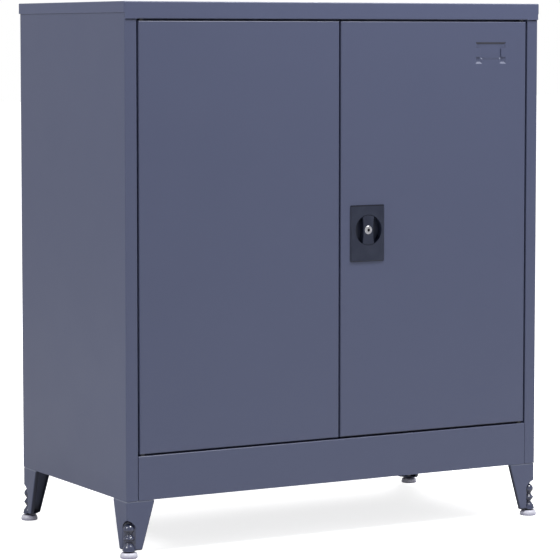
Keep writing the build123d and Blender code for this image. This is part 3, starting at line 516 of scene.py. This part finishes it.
def footPlasticFinish(look):
    finish, tree, shader, place = softPlastic("footPlastic", look)
    scuffs = noise(tree, place, look["scuffScale"], detail=6, roughness=0.65)
    scuffed = spread(tree, scuffs, *look["scuffFrom"], 0, look["scuffMost"])
    tone = mixed(tree, scuffed, look["tone"], look["scuffTone"])
    tone = mixed(tree, hollowShadingMask(tree, look["shadeReach"], *look["shadeFrom"]), tone, look["shadeTone"])
    tree.links.new(tone, shader.inputs["Base Color"])
    roughened(tree, shader, scuffs, look["rough"])
    return finish


nylonLook = {
    "tone": (0.36, 0.36, 0.36, 1),
    "greasyTone": (0.26, 0.26, 0.26, 1),
    "greaseScale": 120,
    "greaseFrom": (0.45, 0.75),
    "greaseMost": 0.8,
    # painted shade deep in folds and seams
    "creaseShadeTone": (0.02, 0.02, 0.025, 1),
    "creaseShadeReach": 0.014,
    "creaseShadeFrom": (0.4, 0.95),
    "rough": (0.38, 0.52),
    "glowWeight": 0.08,
    "glowDepth": 0.003,
    "grainScale": 900,
    "grainStrength": 0.2,
    "grainHeight": 0.00004,
}
bushLook = {**nylonLook, "tone": (0.016, 0.018, 0.026, 1), "greasyTone": (0.010, 0.010, 0.014, 1)}


def guideNylonFinish(look, name="guideNylon"):
    finish, tree, shader, place = softPlastic(name, look)
    grease = noise(tree, place, look["greaseScale"], detail=5)
    greasy = spread(tree, grease, *look["greaseFrom"], 0, look["greaseMost"])
    tone = mixed(tree, greasy, look["tone"], look["greasyTone"])
    # painted shade deep in folds and seams
    tone = mixed(tree, hollowShadingMask(tree, look["creaseShadeReach"], *look["creaseShadeFrom"]), tone, look["creaseShadeTone"])
    tree.links.new(tone, shader.inputs["Base Color"])
    roughened(tree, shader, grease, look["rough"])
    return finish


rubberLook = {
    "tone": (0.018, 0.018, 0.019, 1),
    "bloomTone": (0.045, 0.045, 0.047, 1),
    "bloomScale": 400,
    "bloomFrom": (0.4, 0.7),
    "rough": (0.65, 0.85),
    "grainScale": 2400,
    "grainStrength": 0.4,
    "grainHeight": 0.00005,
}


def bumperRubberFinish(look):
    finish, tree, shader, place = newFinish("bumperRubber")
    bloom = noise(tree, place, look["bloomScale"], detail=4)
    tone = mixed(tree, spread(tree, bloom, *look["bloomFrom"]), look["tone"], look["bloomTone"])
    tree.links.new(tone, shader.inputs["Base Color"])
    roughened(tree, shader, bloom, look["rough"])
    grained(tree, shader, place, look, detail=2)
    return finish


finishes = {
    "cabinet_paint": cabinetPaintFinish("cabinetPaint", paintLook),
    "lock_black": lockBlackFinish(blackLook),
    "chrome": ringChromeFinish(chromeLook),
    "zinc_steel": zincPlateFinish(zincLook),
    "foot_plastic": footPlasticFinish(footLook),
    "nylon": guideNylonFinish(nylonLook),
    "rubber": bumperRubberFinish(rubberLook),
}
# a lighter, bluer copy of the body's paint on the top cover: painted light, where the top of the front catches
# more of the lamp
litCoverLook = {**paintLook, "tone": (0.0465, 0.0556, 0.1055, 1), "deepTone": (0.0445, 0.0532, 0.1010, 1)}
legPaint = legPaintFinish(legLook)
pinSteel = lockNutFinish(pinLook, "oiledPin")
ownFinishes = {
    "top_cover": cabinetPaintFinish("litCoverPaint", litCoverLook),
    "right_door_panel": cardDoorFinish(doorLook),
    "foot_lock_nuts": lockNutFinish(nutLook),
    "pivot_bushes": guideNylonFinish(bushLook, "bushNylon"),
    "left_door_pins": pinSteel,
    "right_door_pins": pinSteel,
    "lock_plug": keyedPlugFinish(chromeLook, plugLook),
    **{f"{corner}_leg": legPaint for corner in corners},
}
for nodeName, node in nodes.items():
    for slot in node.material_slots:
        slot.material = ownFinishes.get(nodeName, finishes[slotOf[nodeName]])
print("finishes on all nodes")


def pieceName(corner, kind):
    return corner.title().replace("_", "") + kind


def footCentre(corner):
    low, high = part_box(f"{corner}_foot")
    return (low + high) / 2


def copyOf(piece, name):
    # an active copy with a mesh of its own
    twin = piece.copy()
    twin.data = piece.data.copy()
    twin.name = name
    bpy.context.collection.objects.link(twin)
    bpy.ops.object.select_all(action="DESELECT")
    twin.select_set(True)
    bpy.context.view_layer.objects.active = twin
    return twin


def copyToShape(nodeName, name):
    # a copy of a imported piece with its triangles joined, in edit mode
    piece = copyOf(nodes[nodeName], name)
    bpy.ops.object.mode_set(mode="EDIT")
    bpy.ops.mesh.select_mode(type="VERT")
    bpy.ops.mesh.select_all(action="SELECT")
    bpy.ops.mesh.remove_doubles(threshold=0.00001)
    return piece


def selectRing(piece, centre, radii, heights):
    # selects the points between two radii round the foot's axis and between two heights
    mesh = bmesh.from_edit_mesh(piece.data)
    for point in mesh.verts:
        radius = math.hypot(point.co.x - centre.x, point.co.y - centre.y)
        point.select = radii[0] < radius < radii[1] and heights[0] < point.co.z < heights[1]
    mesh.select_flush(True)
    mesh.select_flush(False)
    bmesh.update_edit_mesh(piece.data)


def softly(reach):
    # the settings of a proportional edit along the surface
    return {"use_proportional_edit": True, "use_proportional_connected": True,
            "proportional_edit_falloff": "SMOOTH", "proportional_size": reach}


def settleShape(piece, nodeName, body, smoothUnder):
    # back to object mode, smooth where the piece is round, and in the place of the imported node
    bpy.ops.object.mode_set(mode="OBJECT")
    bpy.ops.object.shade_smooth_by_angle(angle=math.radians(smoothUnder))
    bpy.ops.object.modifier_add(type="WEIGHTED_NORMAL")
    weighted = piece.modifiers[-1]
    weighted.keep_sharp = True
    weighted.mode = "FACE_AREA_WITH_ANGLE"
    bpy.ops.object.modifier_apply(modifier=weighted.name)
    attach(piece, body)
    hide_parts(nodeName)


pressedColumn = {
    "presses": (                       # height, which side of the sheet, and how far in or out it is pressed
        (0.0272, "outside", 0.72),
        (0.0432, "outside", 0.72),
        (0.0272, "inside", 0.90),
        (0.0432, "inside", 0.90),
        (0.0352, "outside", 1.07),
        (0.0530, "outside", 1.06),
    ),
    "outside": (0.0064, 0.0105),       # radii between which that side of the column lies
    "inside": (0.0050, 0.0064),
    "reach": 0.0065,
    "band": 0.0009,
    "plateUnder": 0.0147,              # the plate at the bottom, cut across behind the stud
    "plateEnd": 0.0164,
    "smoothUnder": 38,
}


def pressedLeg(corner, look):
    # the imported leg's own sheet, its column pressed deeper between the beads
    leg = copyToShape(f"{corner}_leg", pieceName(corner, "PressedLeg"))
    centre = footCentre(corner)
    for height, sheetSide, change in look["presses"]:
        selectRing(leg, centre, look[sheetSide], (height - look["band"], height + look["band"]))
        bpy.ops.transform.resize(value=(change, change, 1), center_override=(centre.x, centre.y, height),
                                 **softly(look["reach"]))
    mesh = bmesh.from_edit_mesh(leg.data)
    bpy.ops.mesh.select_mode(type="FACE")
    for face in mesh.faces:
        face.select = all(point.co.z < look["plateUnder"] for point in face.verts)
    bmesh.update_edit_mesh(leg.data)
    outward = Vector((math.copysign(1, centre.x), math.copysign(1, centre.y), 0)).normalized()
    bpy.ops.mesh.bisect(plane_co=centre - outward * look["plateEnd"], plane_no=outward,
                        clear_inner=True, use_fill=True)
    settleShape(leg, f"{corner}_leg", "carcass", look["smoothUnder"])


raisedPad = {
    "radii": (0.0084, 0.0146),         # the pad's dome swells up round the lock nut
    "heights": (0.0056, 1),            # all that lies above the rim
    "lift": 0.0024,
    "reach": 0.0022,
    "neckAt": 0.0103,                  # above it stands the threaded stud
    "smoothUnder": 34,
}


def domedFoot(corner, look):
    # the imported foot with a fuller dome, which leaves room for the nut in its middle
    foot = copyToShape(f"{corner}_foot", pieceName(corner, "DomedFoot"))
    centre = footCentre(corner)
    selectRing(foot, centre, look["radii"], look["heights"])
    bpy.ops.transform.translate(value=(0, 0, look["lift"]), **softly(look["reach"]))
    bpy.ops.mesh.select_all(action="SELECT")
    bpy.ops.mesh.bisect(plane_co=(centre.x, centre.y, look["neckAt"]), plane_no=(0, 0, 1),
                        clear_outer=True, use_fill=True)
    settleShape(foot, f"{corner}_foot", f"{corner}_levelling_foot", look["smoothUnder"])


studThread = {
    "heights": (0.0103, 0.0360),
    "crest": 0.0040,                   # M8, cut down to the root between the turns
    "root": 0.00345,
    "pitch": 0.00125,
    "tip": 0.0008,
    "sides": 40,
    "smoothUnder": 20,
}


def drawUp(height, change, axis):
    # draws the top of the stud up and makes it wider or narrower
    bpy.ops.mesh.extrude_region_move(TRANSFORM_OT_translate={"value": (0, 0, height)})
    bpy.ops.transform.resize(value=(change, change, 1), center_override=axis)


def threadedStud(corner, look):
    # one levelling stud, drawn upwards turn by turn from its lower end
    centre = footCentre(corner)
    axis = (centre.x, centre.y, 0)
    low, high = look["heights"]
    bpy.ops.mesh.primitive_circle_add(vertices=look["sides"], radius=look["crest"], fill_type="NGON",
                                      location=(centre.x, centre.y, low))
    stud = bpy.context.object
    stud.name = pieceName(corner, "LevellingStud")
    bpy.ops.object.transform_apply(location=True)
    bpy.ops.object.mode_set(mode="EDIT")
    bpy.ops.mesh.select_mode(type="FACE")
    bpy.ops.mesh.select_all(action="SELECT")
    threaded = high - low - look["tip"]
    turns = round(threaded / look["pitch"])
    depth = look["root"] / look["crest"]
    for change in (depth, 1 / depth) * turns:
        drawUp(threaded / turns / 2, change, axis)
    drawUp(look["tip"], 1 - look["tip"] / look["crest"], axis)
    bpy.ops.mesh.select_all(action="SELECT")
    bpy.ops.mesh.normals_make_consistent(inside=False)
    bpy.ops.object.mode_set(mode="OBJECT")
    bpy.ops.object.shade_smooth_by_angle(angle=math.radians(look["smoothUnder"]))
    stud.data.materials.append(finishes["zinc_steel"])
    return stud


def studAt(stud, corner):
    # the first corner's stud, copied to another foot
    twin = copyOf(stud, pieceName(corner, "LevellingStud"))
    twin.location = footCentre(corner) - footCentre(corners[0])
    bpy.ops.object.transform_apply(location=True)
    return twin


for corner in corners:
    pressedLeg(corner, pressedColumn)
    domedFoot(corner, raisedPad)
firstStud = threadedStud(corners[0], studThread)
for corner in corners:
    stud = firstStud if corner == corners[0] else studAt(firstStud, corner)
    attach(stud, f"{corner}_levelling_foot")
    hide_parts(f"{corner}_foot")
print("legs pressed, feet domed, studs threaded")


# a pale floor, a white sky and soft lamps, as in a product photograph
studio = {
    "floorSize": 60,
    "floorAt": -0.0004,
    "floorTone": (0.42, 0.42, 0.42, 1),
    "floorPale": (0.89, 0.89, 0.90, 1),
    "floorCloudScale": 1.5,
    "floorRough": 0.8,
    "floorGlow": 0.76,       # how white the paper looks where it lies in shadow
    "skyStrength": 0.7,      # what lights the cabinet; the backdrop itself is white
    "lamps": {
        "keyLight": {"at": (1.0, -1.35, 3.3), "aim": (0, 0, 0.6), "size": 0.9, "power": 150},
        "sideLight": {"at": (-3.2, -0.6, 2.6), "aim": (-0.4, 0, 0.6), "size": 1.2, "power": 84},
        "backLight": {"at": (2.5, 3.2, 2.6), "aim": (0.2, 0.2, 0.5), "size": 1.6, "power": 60},
    },
}


def paperFinish(look):
    # pale paper, which glows a little where the camera itself sees it
    finish, tree, shader, place = newFinish("studioFloorPaint")
    clouds = noise(tree, place, look["floorCloudScale"], detail=3)
    tree.links.new(mixed(tree, clouds, look["floorTone"], look["floorPale"]), shader.inputs["Base Color"])
    shader.inputs["Roughness"].default_value = look["floorRough"]
    glow = tree.nodes.new("ShaderNodeEmission")
    glow.inputs["Strength"].default_value = look["floorGlow"]
    both = tree.nodes.new("ShaderNodeAddShader")
    tree.links.new(shader.outputs["BSDF"], both.inputs[0])
    tree.links.new(glow.outputs["Emission"], both.inputs[1])
    seen = tree.nodes.new("ShaderNodeLightPath")
    choice = tree.nodes.new("ShaderNodeMixShader")
    tree.links.new(seen.outputs["Is Camera Ray"], choice.inputs["Fac"])
    tree.links.new(shader.outputs["BSDF"], choice.inputs[1])
    tree.links.new(both.outputs["Shader"], choice.inputs[2])
    tree.links.new(choice.outputs["Shader"], tree.nodes["Material Output"].inputs["Surface"])
    return finish


bpy.ops.mesh.primitive_grid_add(x_subdivisions=8, y_subdivisions=8, size=studio["floorSize"],
                                location=(0, 0, studio["floorAt"]))
studioFloor = bpy.context.object
studioFloor.name = "studioFloor"
studioFloor.data.materials.append(paperFinish(studio))

sky = bpy.data.worlds.new("studioSky")
sky.use_nodes = True
skyTree = sky.node_tree
skyNode = skyTree.nodes["Background"]
skyNode.inputs["Color"].default_value = (1, 1, 1, 1)
skySeen = skyTree.nodes.new("ShaderNodeLightPath")
skyLevel = spread(skyTree, skySeen.outputs["Is Camera Ray"], 0, 1, studio["skyStrength"], 1)
skyTree.links.new(skyLevel, skyNode.inputs["Strength"])
bpy.context.scene.world = sky

for lampName, lamp in studio["lamps"].items():
    bpy.ops.object.light_add(type="AREA", location=lamp["at"])
    light = bpy.context.object
    light.name = lampName
    light.data.shape = "SQUARE"
    light.data.size = lamp["size"]
    light.data.energy = lamp["power"]
    away = Vector(lamp["at"]) - Vector(lamp["aim"])
    light.rotation_euler = away.to_track_quat("Z", "Y").to_euler()

photoCamera = {
    "eye": (-2.5344, -4.4642, 0.9443),
    "turn": 29.586,      # degrees to the right of +Y
    "tilt": 4.327,       # degrees downwards
    "lens": 169.54,
    "sensor": 36,
    "shift": -0.08,
    "farEnd": 60,
}
turned = (math.radians(90 - photoCamera["tilt"]), 0, math.radians(-photoCamera["turn"]))
bpy.ops.object.camera_add(location=photoCamera["eye"], rotation=turned)
camera = bpy.context.object
camera.name = "photoCamera"
camera.data.lens = photoCamera["lens"]
camera.data.sensor_width = photoCamera["sensor"]
camera.data.shift_y = photoCamera["shift"]
camera.data.clip_end = photoCamera["farEnd"]
bpy.context.scene.camera = camera
bpy.context.scene.view_settings.view_transform = "Standard"
print("studio and camera set")
